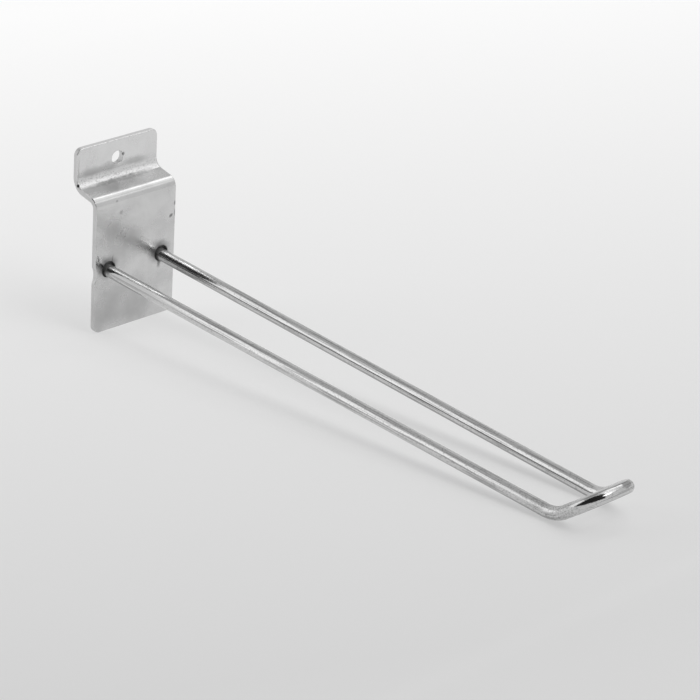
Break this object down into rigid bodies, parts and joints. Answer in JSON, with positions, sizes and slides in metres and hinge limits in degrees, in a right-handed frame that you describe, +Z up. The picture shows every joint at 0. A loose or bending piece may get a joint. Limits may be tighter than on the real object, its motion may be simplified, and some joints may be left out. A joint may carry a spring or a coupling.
{
  "type": "slatwall hook",
  "caption": "Double wire display hook on a folded steel plate whose upper flange catches in the groove of a slotted wall panel; the wire turns up at the front.",
  "frame": {"origin": "on the back face of the main plate, midway between the legs, at the height of the leg axes", "axes": "+Y points into the wall, along the outward normal of the plate's back face; the legs run along -Y; +Z up; X across the plate"},
  "size_m": [0.04, 0.275, 0.0743],
  "materials": {
    "plate_plating": "satin zinc plating on steel sheet",
    "wire_plating": "bright plating on drawn steel wire"
  },
  "bodies": {
    "root": {"back_plate": "plate_plating", "wire_loop": "wire_plating"}
  },
  "joints": []
}
